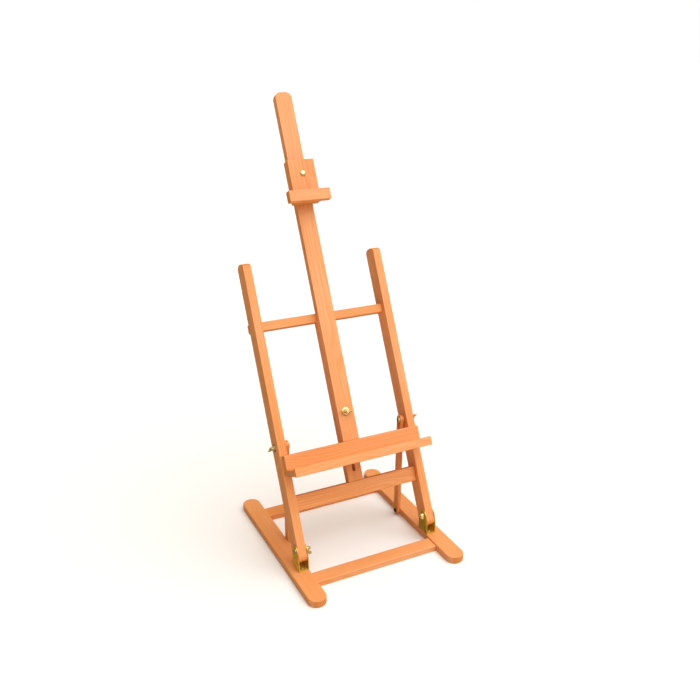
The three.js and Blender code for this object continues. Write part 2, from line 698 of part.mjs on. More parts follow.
function addMast(parent) {
  const rear = RAIL_REAR + GAP;
  const head = rear + WASHER_THICK + GAP;
  const nutSeat = MAST_FRONT - WASHER_THICK - 2 * GAP;
  parent.add(piece("mast", mast(), WOOD));
  const bolt = piece("mast_bolt", domeBolt(head - nutSeat + BOLT_THROUGH), BRASS);
  parent.add(aim(bolt, 0, head, MAST_BOLT_U, [0, 1, 0]));
  const rearWasher = piece("mast_washer_rear", washer(WIDE_WASHER_RADIUS), BRASS);
  parent.add(aim(rearWasher, 0, rear, MAST_BOLT_U, [0, 1, 0]));
  const frontWasher = piece("mast_washer_front", washer(WIDE_WASHER_RADIUS), BRASS);
  parent.add(aim(frontWasher, 0, MAST_FRONT - GAP, MAST_BOLT_U, [0, -1, 0]));
  const nut = piece("mast_nut", wingNut(MAST_NUT_SPAN), BRASS);
  parent.add(aim(nut, 0, nutSeat, MAST_BOLT_U, [0, -1, 0], MAST_NUT_TURN));
  const guide = piece("guide_bolt", domeBolt(head - MAST_REAR + GUIDE_BOLT_BITE), BRASS);
  parent.add(aim(guide, 0, head, GUIDE_BOLT_U, [0, 1, 0]));
  const guideWasher = piece("guide_washer", washer(WASHER_RADIUS), BRASS);
  parent.add(aim(guideWasher, 0, rear, GUIDE_BOLT_U, [0, 1, 0]));
}

// ---------------------------------------------------------------- tray

// Upright board across the front of the uprights; a blind hole takes the tray's stud.
function trayBack() {
  const front = TRAY_BOARD_FRONT;
  const board = block(-TRAY_HALF, TRAY_HALF, front, TRAY_REAR, TRAY_BOTTOM, TRAY_TOP);
  const deep = front + TRAY_STUD_SKIN;
  return board.subtract(rodY(0, TRAY_BOLT_U, bore(HOLE_RADIUS), deep, TRAY_REAR + CUT));
}

// Shelf that butts against the front of the upright board.
function trayShelf() {
  const front = TRAY_REAR - TRAY_REACH;
  const rear = TRAY_BOARD_FRONT - GAP;
  const top = TRAY_BOTTOM + TRAY_SHELF_THICK;
  return block(-TRAY_HALF, TRAY_HALF, front, rear, TRAY_BOTTOM, top);
}

function trayLip() {
  const low = TRAY_BOTTOM - TRAY_LIP_DROP;
  const front = TRAY_LIP_REAR - TRAY_LIP_THICK;
  return block(-TRAY_HALF, TRAY_HALF, front, TRAY_LIP_REAR, low, low + TRAY_LIP_HEIGHT);
}

// Packing block that fills the space between the tray and the slotted board.
function traySpacer() {
  const half = MAST_WIDTH / 2;
  const front = TRAY_REAR + GAP;
  const rear = RAIL_FRONT - GAP;
  const body = block(-half, half, front, rear, TRAY_BOTTOM, TRAY_TOP);
  return body.subtract(rodY(0, TRAY_BOLT_U, bore(HOLE_RADIUS), front - CUT, rear + CUT));
}

function addTray(parent) {
  parent.add(piece("tray_back", trayBack(), WOOD));
  parent.add(piece("tray_shelf", trayShelf(), WOOD));
  parent.add(piece("tray_lip", trayLip(), WOOD));
  parent.add(piece("tray_spacer", traySpacer(), WOOD));
  const rear = RAIL_REAR + GAP;
  const nutSeat = rear + WASHER_THICK + GAP;
  const start = TRAY_BOARD_FRONT + TRAY_STUD_SKIN + GAP;
  const bolt = piece("tray_stud", stud(nutSeat + BOLT_THROUGH - start), BRASS);
  parent.add(aim(bolt, 0, start, TRAY_BOLT_U, [0, -1, 0]));
  const plate = piece("tray_washer", washer(WIDE_WASHER_RADIUS), BRASS);
  parent.add(aim(plate, 0, rear, TRAY_BOLT_U, [0, 1, 0]));
  const nut = piece("tray_nut", wingNut(MAST_NUT_SPAN), BRASS);
  parent.add(aim(nut, 0, nutSeat, TRAY_BOLT_U, [0, 1, 0], TRAY_NUT_TURN));
}

// ---------------------------------------------------------------- clamp

function clampBlock() {
  const half = CLAMP_WIDTH / 2;
  const top = CLAMP_BOTTOM + CLAMP_HEIGHT;
  const body = block(-half, half, CLAMP_FRONT, CLAMP_REAR, CLAMP_BOTTOM, top);
  const hole = bore(HOLE_RADIUS);
  return body.subtract(rodY(0, CLAMP_BOLT_U, hole, CLAMP_FRONT - CUT, CLAMP_REAR + CUT));
}

// Bar across the foot of the clamp that overhangs the canvas edge.
function clampLip() {
  const half = CLAMP_LIP_WIDTH / 2;
  const rear = CLAMP_FRONT - GAP;
  const low = CLAMP_BOTTOM - CLAMP_LIP_DROP;
  return block(-half, half, rear - CLAMP_LIP_DEPTH, rear, low, low + CLAMP_LIP_HEIGHT);
}

function addClamp(parent) {
  parent.add(piece("clamp_block", clampBlock(), WOOD));
  parent.add(piece("clamp_lip", clampLip(), WOOD));
  const rear = MAST_REAR + GAP;
  const nutSeat = rear + WASHER_THICK + GAP;
  const head = CLAMP_FRONT - SEAT;
  const bolt = piece("clamp_bolt", domeBolt(nutSeat - head + BOLT_THROUGH), BRASS);
  parent.add(aim(bolt, 0, head, CLAMP_BOLT_U, [0, -1, 0]));
  const plate = piece("clamp_washer", washer(WIDE_WASHER_RADIUS), BRASS);
  parent.add(aim(plate, 0, rear, CLAMP_BOLT_U, [0, 1, 0]));
  const nut = piece("clamp_nut", wingNut(MAST_NUT_SPAN), BRASS);
  parent.add(aim(nut, 0, nutSeat, CLAMP_BOLT_U, [0, 1, 0], CLAMP_NUT_TURN));
}

// ---------------------------------------------------------------- assembly

const easel = new THREE.Group();
easel.name = "tabletop_easel";

const base = new THREE.Group();
addBase(base);
for (const [side, sign] of SIDES_OF_EASEL) {
  addStrut(base, side, sign);
}
easel.add(base);

const frame = new THREE.Group();
frame.position.set(0, FRAME_Y, FRAME_Z);
frame.rotation.x = -lean;
addFrame(frame);
addMast(frame);
addTray(frame);
addClamp(frame);
easel.add(frame);

// Middle of the footprint, from the front of the runners to the rear of the mast's head.
easel.updateMatrixWorld(true);
const reach = new THREE.Box3().setFromObject(easel, true);
easel.position.y = -(reach.min.y + reach.max.y) / 2;

export default easel;
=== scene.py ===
import math
import json

import bmesh
import bpy
from mathutils import Matrix, Vector

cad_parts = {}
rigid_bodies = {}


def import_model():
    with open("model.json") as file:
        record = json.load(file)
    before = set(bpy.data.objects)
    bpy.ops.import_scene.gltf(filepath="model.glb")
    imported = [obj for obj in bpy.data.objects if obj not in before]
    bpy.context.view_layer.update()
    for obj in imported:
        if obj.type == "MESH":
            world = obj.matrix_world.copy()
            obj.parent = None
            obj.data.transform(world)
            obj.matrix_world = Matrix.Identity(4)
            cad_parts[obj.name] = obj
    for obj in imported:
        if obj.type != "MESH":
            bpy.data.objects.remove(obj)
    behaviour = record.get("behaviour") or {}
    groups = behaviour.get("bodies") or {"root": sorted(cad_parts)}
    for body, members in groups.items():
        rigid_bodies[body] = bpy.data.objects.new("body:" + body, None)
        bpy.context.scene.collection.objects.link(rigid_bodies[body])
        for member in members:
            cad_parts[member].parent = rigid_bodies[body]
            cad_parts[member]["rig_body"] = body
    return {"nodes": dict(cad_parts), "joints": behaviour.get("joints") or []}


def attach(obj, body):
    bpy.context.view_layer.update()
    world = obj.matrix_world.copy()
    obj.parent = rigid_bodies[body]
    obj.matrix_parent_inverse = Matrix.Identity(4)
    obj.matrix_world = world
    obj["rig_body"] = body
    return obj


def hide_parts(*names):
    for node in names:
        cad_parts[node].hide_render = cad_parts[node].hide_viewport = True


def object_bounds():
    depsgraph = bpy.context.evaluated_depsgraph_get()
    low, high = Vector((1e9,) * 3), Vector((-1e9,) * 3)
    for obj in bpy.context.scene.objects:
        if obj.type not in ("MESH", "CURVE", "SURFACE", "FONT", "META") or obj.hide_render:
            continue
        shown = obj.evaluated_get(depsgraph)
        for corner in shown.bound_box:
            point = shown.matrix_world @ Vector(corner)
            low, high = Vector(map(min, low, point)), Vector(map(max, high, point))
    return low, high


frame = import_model()
cad_low, cad_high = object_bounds()

# ---------------------------------------------------------------- Studio
# A plain white sweep under soft light from above, in a room that is bright to the right of the
# painter's side and dim behind and to the left, so that the left faces fall into warm shade.

bpy.context.scene.view_settings.view_transform = "Standard"
bpy.context.scene.view_settings.look = "None"


class Wire:
    """A value in a material. Arithmetic on it adds Math nodes, and node() adds any other node."""

    def __init__(self, tree, socket):
        self.tree = tree
        self.socket = socket

    def node(self, kind, settings=None, inputs=None, out=0):
        made = self.tree.nodes.new(kind)
        for name, value in (settings or {}).items():
            setattr(made, name, value)
        for key, value in (inputs or {}).items():
            if isinstance(value, Wire):
                self.tree.links.new(value.socket, made.inputs[key])
            else:
                made.inputs[key].default_value = value
        return Wire(self.tree, made.outputs[out])

    def math(self, operation, *values):
        return self.node("ShaderNodeMath", {"operation": operation}, dict(enumerate(values)))

    def __add__(self, other):
        return self.math("ADD", self, other)

    def __radd__(self, other):
        return self.math("ADD", other, self)

    def __sub__(self, other):
        return self.math("SUBTRACT", self, other)

    def __rsub__(self, other):
        return self.math("SUBTRACT", other, self)

    def __mul__(self, other):
        return self.math("MULTIPLY", self, other)

    def __rmul__(self, other):
        return self.math("MULTIPLY", other, self)

    def __truediv__(self, other):
        return self.math("DIVIDE", self, other)

    def __pow__(self, other):
        return self.math("POWER", self, other)

    def __abs__(self):
        return self.math("ABSOLUTE", self)

    def fraction(self):
        return self.math("FRACT", self)

    def smooth(self, low, high):
        """0 below low, 1 above high, eased in between."""
        return self.node(
            "ShaderNodeMapRange",
            {"interpolation_type": "SMOOTHSTEP"},
            {"Value": self, "From Min": low, "From Max": high},
        )

    def noise(self, scale, detail=2.0, roughness=0.5):
        """This vector's noise, stretched by a scale for each direction."""
        stretched = self.node(
            "ShaderNodeVectorMath", {"operation": "MULTIPLY"}, {0: self, 1: scale}
        )
        return self.node(
            "ShaderNodeTexNoise",
            None,
            {"Vector": stretched, "Scale": 1.0, "Detail": detail, "Roughness": roughness},
        )

    def mix(self, first, second):
        """Colour: first where this is 0, second where it is 1."""
        return self.node(
            "ShaderNodeMix",
            {"data_type": "RGBA"},
            {0: self, 6: first, 7: second},
            out=2,
        )


def new_material(name):
    """A material, its shader node, and a wire to start from."""
    material = bpy.data.materials.new(name)
    material.use_nodes = True
    shader = material.node_tree.nodes["Principled BSDF"]
    return material, shader, Wire(material.node_tree, None)


FLOOR_SIZE = 60
FLOOR_COLOUR = (0.95, 0.95, 0.95, 1)

paper, shader, start = new_material("pale floor")
shader.inputs["Base Color"].default_value = FLOOR_COLOUR
shader.inputs["Roughness"].default_value = 0.9
shader.inputs["Specular IOR Level"].default_value = 0.0

bpy.ops.object.select_all(action="DESELECT")
bpy.ops.mesh.primitive_plane_add(size=FLOOR_SIZE, location=(0, 0, cad_low[2]))
floor = bpy.context.object
floor.name = "floor"
floor.data.materials.append(paper)
floor.visible_glossy = False

OVERHEAD_ENERGY = 0.10 * math.pi
OVERHEAD_SPREAD = math.radians(100)
OVERHEAD_FROM = Vector((0.12, 0.22, 1.0))

overhead = bpy.data.objects.new("overhead light", bpy.data.lights.new("overhead light", "SUN"))
bpy.context.scene.collection.objects.link(overhead)
overhead.data.energy = OVERHEAD_ENERGY
overhead.data.angle = OVERHEAD_SPREAD
overhead.rotation_euler = (-OVERHEAD_FROM).to_track_quat("-Z", "Y").to_euler()

ROOM_DIM = 0.035
ROOM_BRIGHT = 3.0
ROOM_FALLOFF = 3.0
BRIGHT_SIDE = (0.25, -0.36, 0.90)
WARM_SHADE = (1.0, 0.66, 0.16, 1)
WHITE_LIGHT = (1.0, 1.0, 1.0, 1)

world = bpy.data.worlds.new("white studio")
bpy.context.scene.world = world
world.use_nodes = True
backdrop = world.node_tree.nodes["Background"]
air = Wire(world.node_tree, None)
way = air.node("ShaderNodeTexCoord")
towards = air.node(
    "ShaderNodeVectorMath", {"operation": "DOT_PRODUCT"}, {0: way, 1: BRIGHT_SIDE}, out=1
)
room = towards.math("MAXIMUM", towards, 0.0) ** ROOM_FALLOFF * ROOM_BRIGHT + ROOM_DIM
seen = air.node("ShaderNodeLightPath")
strength = room * (1.0 - seen) + seen
light = towards.smooth(0.25, 0.95).mix(WARM_SHADE, WHITE_LIGHT)
light = seen.mix(light, WHITE_LIGHT)
world.node_tree.links.new(strength.socket, backdrop.inputs["Strength"])
world.node_tree.links.new(light.socket, backdrop.inputs["Color"])

# The camera stands in front and to the left, above the top of the uprights.
CAMERA_PLACE = (-0.728, -1.5482, 1.115)
CAMERA_SIGHT = Vector((0.4135, 0.8345, -0.3641))
CAMERA_LENS = 41.66

camera = bpy.data.objects.new("camera", bpy.data.cameras.new("camera"))
bpy.context.scene.collection.objects.link(camera)
bpy.context.scene.camera = camera
camera.data.sensor_width = 36
camera.data.lens = CAMERA_LENS
camera.data.clip_end = 30
camera.location = CAMERA_PLACE
camera.rotation_euler = CAMERA_SIGHT.to_track_quat("-Z", "Y").to_euler()

# ---------------------------------------------------------------- Runners
# The two feet of the easel: flat beech laths with full-round ends, sanded and varnished.
# The base bars butt against their inner edges.

NODES = frame["nodes"]
ARRIS = 0.0013  # radius that the sanding leaves on a lath's long edges
HARD_EDGE = math.radians(35)
RUNNER_ARRIS = 0.0018
HAIR = 0.0001  # kept back from a full round, so that its two halves do not meet


def feed(shader, **wires):
    for name, wire in wires.items():
        wire.tree.links.new(wire.socket, shader.inputs[name.replace("_", " ")])


# The first colour is pale beech, with its blue raised as a painted sheen for the whitish gleam of
# the lit faces.
BEECH_PALE_AND_SHEEN = (0.87, 0.36, 0.13, 1)
BEECH_MID = (0.80, 0.26, 0.03, 1)
BEECH_DARK = (0.55, 0.14, 0.002, 1)
BEECH_END = (0.52, 0.14, 0.004, 1)


RING_WIDTH = 3.4  # millimetres from one growth ring to the next
RING_WANDER = 34
RING_DRIFT = 9


def beech(name, turn, heart, tone_and_painted_light=0.0):
    """Varnished beech. turn brings the lath's length to Z, heart is where the middle of the tree
    was, in millimetres from the lath, and the last argument shifts this lath darker or lighter:
    at random on some laths, and as painted light or painted shade for how light falls on others."""
    material, shader, start = new_material(name)
    place = start.node("ShaderNodeTexCoord", out=3)
    grain = start.node(
        "ShaderNodeMapping",
        None,
        {"Vector": place, "Rotation": turn, "Scale": (1000, 1000, 1000), "Location": heart},
    )
    across = start.node("ShaderNodeSeparateXYZ", None, {0: grain}, out=0)
    through = start.node("ShaderNodeSeparateXYZ", None, {0: grain}, out=1)
    wander = grain.noise((0.011, 0.011, 0.0032), 1.5)
    drift = grain.noise((0.02, 0.02, 0.006), 1.0)
    radius = (across * across + through * through) ** 0.5
    rings = (radius + (wander - 0.5) * RING_WANDER + (drift - 0.5) * RING_DRIFT) / RING_WIDTH
    band = rings.fraction()
    late = band.smooth(0.3, 0.93) - band.smooth(0.93, 1.0)
    streak = grain.noise((0.42, 0.42, 0.006), 3.0, 0.6)
    fibre = grain.noise((2.6, 2.6, 0.05), 3.0, 0.65)
    fleck = grain.noise((2.2, 2.2, 0.34), 1.0).smooth(0.66, 0.76)
    cloud = grain.noise((0.016, 0.016, 0.005), 2.0)
    depth = (
        late * 0.20
        + (streak - 0.5) * 0.75
        + (fibre - 0.5) * 0.60
        + (cloud - 0.5) * 0.60
        + fleck * 0.20
        + (0.30 + tone_and_painted_light)
    )
    body = depth.smooth(0.0, 0.62).mix(BEECH_PALE_AND_SHEEN, BEECH_MID)
    body = depth.smooth(0.45, 1.15).mix(body, BEECH_DARK)
    facing = start.node("ShaderNodeTexCoord", out=1)
    turned = start.node(
        "ShaderNodeMapping", {"vector_type": "NORMAL"}, {"Vector": facing, "Rotation": turn}
    )
    end = abs(start.node("ShaderNodeSeparateXYZ", None, {0: turned}, out=2)).smooth(0.62, 0.9)
    pores = grain.noise((1.7, 1.7, 0.02), 2.0).smooth(0.35, 0.7)
    end_wood = (late * 0.55 + pores * 0.35).mix(BEECH_MID, BEECH_END)
    colour = end.mix(body, end_wood)
    gloss = 0.48 + (streak - 0.5) * 0.14 + fibre * 0.05 + end * 0.16
    relief = fibre * 0.5 + late * 0.22 + streak * 0.35 + fleck * 0.3
    bump = start.node(
        "ShaderNodeBump", None, {"Strength": 0.2, "Distance": 0.0003, "Height": relief}
    )
    feed(shader, Base_Color=colour, Roughness=gloss, Normal=bump)
    shader.inputs["IOR"].default_value = 1.8
    return material


def edit(piece):
    bpy.ops.object.select_all(action="DESELECT")
    piece.select_set(True)
    bpy.context.view_layer.objects.active = piece
    bpy.ops.object.mode_set(mode="EDIT")


def leave():
    bpy.ops.object.mode_set(mode="OBJECT")


def choose(piece, kind, wanted):
    """In edit mode, selects the vertices, edges or faces that pass a test."""
    bpy.ops.mesh.select_mode(type=kind)
    bpy.ops.mesh.select_all(action="DESELECT")
    shape = bmesh.from_edit_mesh(piece.data)
    parts = {"VERT": shape.verts, "EDGE": shape.edges, "FACE": shape.faces}[kind]
    for part in parts:
        if wanted(part):
            part.select_set(True)
    shape.select_flush_mode()
    bmesh.update_edit_mesh(piece.data)


def runs(edge, axis):
    """True if an edge runs along X, Y or Z, as 0, 1 or 2."""
    step = edge.verts[1].co - edge.verts[0].co
    return abs(step[axis]) > 0.999 * step.length


def middle(part):
    corners = [corner.co for corner in part.verts]
    return sum(corners, Vector()) / len(corners)


def block(name, low, high):
    """A cube primitive at its size and place, with its place in its mesh."""
    bpy.ops.object.select_all(action="DESELECT")
    low, high = Vector(low), Vector(high)
    bpy.ops.mesh.primitive_cube_add(size=1, location=(low + high) / 2, scale=high - low)
    piece = bpy.context.object
    piece.name = name
    piece.data.name = name
    bpy.ops.object.transform_apply(location=True, rotation=True, scale=True)
    return piece


def round_edges(piece, wanted, radius, segments):
    edit(piece)
    choose(piece, "EDGE", wanted)
    bpy.ops.mesh.bevel(offset=radius, segments=segments, affect="EDGES")
    leave()


def apply_modifier(piece, kind, **settings):
    bpy.ops.object.select_all(action="DESELECT")
    piece.select_set(True)
    bpy.context.view_layer.objects.active = piece
    modifier = piece.modifiers.new(kind, kind)
    for name, value in settings.items():
        setattr(modifier, name, value)
    bpy.ops.object.modifier_apply(modifier=modifier.name)


def soften(piece, radius=ARRIS, segments=3):
    """Rounds every hard edge a little, and keeps the flats flat in the shading."""
    apply_modifier(
        piece,
        "BEVEL",
        width=radius,
        segments=segments,
        limit_method="ANGLE",
        angle_limit=HARD_EDGE,
        use_clamp_overlap=True,
    )
    bpy.ops.object.shade_smooth()
    apply_modifier(piece, "WEIGHTED_NORMAL", weight=90, keep_sharp=True)


def stand_in(piece, node, material, turn=None):
    """Puts a finished piece in place of its CAD node, on the same body."""
    if turn is not None:
        piece.matrix_world = turn.to_4x4() @ piece.matrix_world
    bpy.ops.object.select_all(action="DESELECT")
    piece.select_set(True)
    bpy.context.view_layer.objects.active = piece
    bpy.ops.object.transform_apply(location=True, rotation=True, scale=True)
    piece.data.materials.clear()
    piece.data.materials.append(material)
    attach(piece, NODES[node]["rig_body"])
    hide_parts(node)


LEVEL = Matrix.Identity(3)


def extent(node, turn=LEVEL):
    """Lowest and highest corner of a CAD node in a turned frame."""
    back = turn.transposed()
    corners = [back @ corner.co for corner in NODES[node].data.vertices]
    low = Vector([min(corner[i] for corner in corners) for i in range(3)])
    high = Vector([max(corner[i] for corner in corners) for i in range(3)])
    return low, high


GRAIN_Y = (math.pi / 2, 0, 0)

for side, heart in (("left", (60, 25, 40)), ("right", (-48, 31, 900))):
    low, high = extent(f"runner_{side}")
    runner = block(f"runner_{side}_lath", low, high)
    half = (high.x - low.x) / 2
    round_edges(runner, lambda e: runs(e, 2), half - 2 * HAIR, 18)
    soften(runner, RUNNER_ARRIS, 4)
    # The -0.12 lightens both runners: painted light for the light falling on their tops.
    stand_in(runner, f"runner_{side}", beech(f"beech runner {side}", GRAIN_Y, heart, -0.12))

# ---------------------------------------------------------------- Base bars
# Two thinner laths that tie the runners together, glued and dowelled flush underneath.

GRAIN_X = (0, -math.pi / 2, 0)

# The front bar's -0.26 lightens it: painted light for the light on its top and front. The rear
# bar is not shifted.
for place, heart, tone_and_painted_light in (("front", (36, 52, 300), -0.26), ("rear", (-30, 64, 1500), 0.0)):
    low, high = extent(f"base_bar_{place}")
    bar = block(f"base_bar_{place}_lath", low, high)
    soften(bar)
    stand_in(bar, f"base_bar_{place}", beech(f"beech base bar {place}", GRAIN_X, heart, tone_and_painted_light))

# ---------------------------------------------------------------- Struts
# Two slim laths with full-round ends that prop the frame. The foot turns on a screw in the
# runner. A slot near the head lets the frame's bolt run down as the frame leans back.

JOINTS = {joint["name"]: joint for joint in frame["joints"]}


def along(direction):
    """The frame whose third axis runs along a direction in the YZ plane."""
    rise = Vector(direction).normalized()
    side_axis = Vector((1, 0, 0))
    return Matrix((side_axis, rise.cross(side_axis), rise)).transposed()


def slot_tool(axis, centre, low, high, width, depth):
    """A long block with round ends, for cutting a slot. axis is 0 or 1, the way it cuts."""
    start = [centre[0] - width / 2, centre[1] - width / 2, low]
    end = [centre[0] + width / 2, centre[1] + width / 2, high]
    start[axis] = centre[axis] - depth / 2
    end[axis] = centre[axis] + depth / 2
    tool = block("slot tool", start, end)
    round_edges(tool, lambda e: runs(e, axis), width / 2 - 0.00002, 10)
    return tool


def cut(piece, tool):
    apply_modifier(piece, "BOOLEAN", operation="DIFFERENCE", solver="EXACT", object=tool)
    bpy.data.objects.remove(tool)


STRUT_SLOT = 0.0082
STRUT_TRAVEL = 0.032
THIN_ARRIS = 0.0009
CUT_DEPTH = 0.03

foot = Vector(JOINTS["strut_left_swing"]["pos_m"])
strut_top_bolt = Vector(JOINTS["strut_nut_left_turn"]["pos_m"])
prop = strut_top_bolt - foot
prop.x = 0
STRUT_TURN = along(prop)

for side, heart in (("left", (22, 40, 0)), ("right", (-26, 35, 700))):
    node = f"strut_{side}"
    low, high = extent(node, STRUT_TURN)
    lath = block(f"{node}_lath", low, high)
    half = (high.y - low.y) / 2
    round_edges(lath, lambda e: runs(e, 0), half - HAIR, 12)
    bolt_u = (STRUT_TURN.transposed() @ strut_top_bolt).z
    centre = ((low.x + high.x) / 2, (low.y + high.y) / 2)
    slot_low = bolt_u - STRUT_TRAVEL - STRUT_SLOT / 2
    slot_high = bolt_u + STRUT_SLOT / 2
    cut(lath, slot_tool(0, centre, slot_low, slot_high, STRUT_SLOT, CUT_DEPTH))
    soften(lath, THIN_ARRIS)
    turn = (-STRUT_TURN.to_euler().x, 0, 0)
    stand_in(lath, node, beech(f"beech {node}", turn, heart, 0.05), STRUT_TURN)

# ---------------------------------------------------------------- Leaning frame
# Two uprights with arched heads, a lower rail and a top bar between them, and a slotted board
# up the middle that guides the mast and the tray. The top bar's ends lap behind the uprights.

SLOPE = along(JOINTS["mast_slide"]["axis"])
GRAIN_U = (-SLOPE.to_euler().x, 0, 0)
GRAIN_ACROSS = (-SLOPE.to_euler().x, -math.pi / 2, 0)
HEAD_RISE = 0.0075
FOOT_ROUND = 0.0135
LONG_ARRIS = 0.0015
TOP_BAR_ARRIS = 0.0011
LAP_GAP = 0.0003
NEAR = 0.001  # how close to an end a part counts as being at that end


def upright_lath(name, low, high):
    """The head is a slice of a cylinder, drawn out downwards to the foot."""
    half = (high.y - low.y) / 2
    radius = (half * half + HEAD_RISE * HEAD_RISE) / (2 * HEAD_RISE)
    centre = Vector(((low.x + high.x) / 2, (low.y + high.y) / 2, high.z - radius))
    bpy.ops.object.select_all(action="DESELECT")
    bpy.ops.mesh.primitive_cylinder_add(
        vertices=128,
        radius=radius,
        depth=high.x - low.x,
        location=centre,
        rotation=(0, math.pi / 2, 0),
    )
    lath = bpy.context.object
    lath.name = name
    bpy.ops.object.transform_apply(location=True, rotation=True, scale=True)
    edit(lath)
    cuts = (
        ((0, low.y, 0), (0, -1, 0)),
        ((0, high.y, 0), (0, 1, 0)),
        ((0, 0, high.z - HEAD_RISE), (0, 0, -1)),
    )
    for point, outwards in cuts:
        bpy.ops.mesh.select_all(action="SELECT")
        bpy.ops.mesh.bisect(plane_co=point, plane_no=outwards, use_fill=True, clear_outer=True)
    choose(lath, "FACE", lambda f: f.normal.z < -0.99)
    drop = high.z - HEAD_RISE - low.z
    bpy.ops.mesh.extrude_region_move(TRANSFORM_OT_translate={"value": (0, 0, -drop)})
    bpy.ops.mesh.select_all(action="SELECT")
    bpy.ops.mesh.remove_doubles(threshold=0.00001)
    bpy.ops.mesh.normals_make_consistent(inside=False)
    bpy.ops.mesh.dissolve_limited(angle_limit=math.radians(0.5))
    leave()

    def front_foot(edge):
        spot = middle(edge)
        return runs(edge, 0) and spot.z < low.z + NEAR and spot.y < centre.y

    round_edges(lath, front_foot, FOOT_ROUND, 12)
    return lath


for side, heart, tone_and_painted_light in (("left", (55, 70, 0), 0.0), ("right", (-70, 48, 1200), -0.03)):
    node = f"upright_{side}"
    low, high = extent(node, SLOPE)
    lath = upright_lath(f"{node}_lath", low, high)
    soften(lath, LONG_ARRIS)
    stand_in(lath, node, beech(f"beech {node}", GRAIN_U, heart, tone_and_painted_light), SLOPE)

low, high = extent("lower_rail", SLOPE)
rail = block("lower_rail_lath", low, high)
soften(rail)
# The 0.12 darkens the lower rail: painted shade for the shadow of the tray above it.
stand_in(rail, "lower_rail", beech("beech lower rail", GRAIN_ACROSS, (44, 60, 0), 0.12), SLOPE)

SLOT = 0.007
BOARD_SLOT_LENGTH = 0.328
BOARD_SLOT_RISE = 0.0217  # wood left below the slot
THROUGH_CUT = 0.04
low, high = extent("centre_board", SLOPE)
board = block("centre_board_lath", low, high)
slot_low = low.z + BOARD_SLOT_RISE
slot_high = slot_low + BOARD_SLOT_LENGTH
centre = ((low.x + high.x) / 2, (low.y + high.y) / 2)
cut(board, slot_tool(1, centre, slot_low, slot_high, SLOT, THROUGH_CUT))
soften(board, THIN_ARRIS)
# The 0.1 darkens the centre board: painted shade for the shadow of the tray above it.
stand_in(board, "centre_board", beech("beech board", GRAIN_U, (40, -62, 500), 0.1), SLOPE)

low, high = extent("top_bar", SLOPE)
inner_low, inner_high = extent("lower_rail", SLOPE)
lap = extent("upright_left", SLOPE)[1].y + LAP_GAP
bar = block("top_bar_lath", (inner_low.x, low.y, low.z), (inner_high.x, high.y, high.z))
edit(bar)
bpy.ops.mesh.select_all(action="SELECT")
bpy.ops.mesh.bisect(plane_co=(0, lap, 0), plane_no=(0, 1, 0))
for way in (-1, 1):
    choose(bar, "FACE", lambda f: f.normal.x * way > 0.99 and middle(f).y > lap)
    reach = high.x - inner_high.x
    bpy.ops.mesh.extrude_region_move(TRANSFORM_OT_translate={"value": (way * reach, 0, 0)})
leave()
soften(bar, TOP_BAR_ARRIS)
stand_in(bar, "top_bar", beech("beech top bar", GRAIN_ACROSS, (-52, 40, 200), 0.05), SLOPE)

# ---------------------------------------------------------------- Mast
# The long beech lath that slides up the slotted board, with a rounded head. A slot cut through
# it near the top takes the clamp's bolt.

MAST_ROUND = 0.014
CLAMP_SLOT_LOW = -0.055
CLAMP_SLOT_HIGH = 0.023

low, high = extent("mast", SLOPE)
mast = block("mast_lath", low, high)
round_edges(mast, lambda e: runs(e, 1) and middle(e).z > high.z - NEAR, MAST_ROUND, 12)
clamp_bolt = SLOPE.transposed() @ Vector(JOINTS["clamp_nut_turn"]["pos_m"])
centre = ((low.x + high.x) / 2, (low.y + high.y) / 2)
slot_low = clamp_bolt.z + CLAMP_SLOT_LOW - SLOT / 2
slot_high = clamp_bolt.z + CLAMP_SLOT_HIGH + SLOT / 2
cut(mast, slot_tool(1, centre, slot_low, slot_high, SLOT, THROUGH_CUT))
soften(mast, LONG_ARRIS)
stand_in(mast, "mast", beech("beech mast", GRAIN_U, (-38, 75, 2000), -0.04), SLOPE)

# ---------------------------------------------------------------- Tray
# A back board, a shelf and a lip, glued together, that carry the foot of the canvas. A packing
# block behind them rides on the slotted board.

TRAY_ARRIS = 0.0018

tray_pieces = (
    ("tray_back", (30, 66, 0), 0.0),
    ("tray_shelf", (-75, 22, 900), 0.02),
    ("tray_lip", (25, -70, 400), -0.08),
    ("tray_spacer", (50, 40, 600), 0.1),
)
for node, heart, tone_and_painted_light in tray_pieces:
    low, high = extent(node, SLOPE)
    lath = block(f"{node}_lath", low, high)
    soften(lath, TRAY_ARRIS)
    stand_in(lath, node, beech(f"beech {node}", GRAIN_ACROSS, heart, tone_and_painted_light), SLOPE)

# ---------------------------------------------------------------- Clamp
# A beech block that slides on the mast, held by a bolt through the mast's slot. A bar glued
# across its foot overhangs the top edge of the canvas.

CLAMP_ARRIS = 0.0016

for node, turn, heart, tone_and_painted_light in (
    ("clamp_block", GRAIN_U, (-34, 58, 0), 0.03),
    ("clamp_lip", GRAIN_ACROSS, (28, 50, 100), -0.02),
):
    low, high = extent(node, SLOPE)
    lath = block(f"{node}_lath", low, high)
    soften(lath, CLAMP_ARRIS, 4)
    stand_in(lath, node, beech(f"beech {node}", turn, heart, tone_and_painted_light), SLOPE)

# ---------------------------------------------------------------- Hinge brackets
# Brass strip bent into a U, screwed to the runner. Its upstands taper to round tops, and the
# upright stands between them on its bolt.

BRIGHT_BRASS = (0.92, 0.74, 0.36, 1)
DULL_BRASS = (0.70, 0.50, 0.12, 1)
OLIVE_BRASS = (0.80, 0.54, 0.07, 1)
BROWN_BRASS = (0.52, 0.33, 0.02, 1)


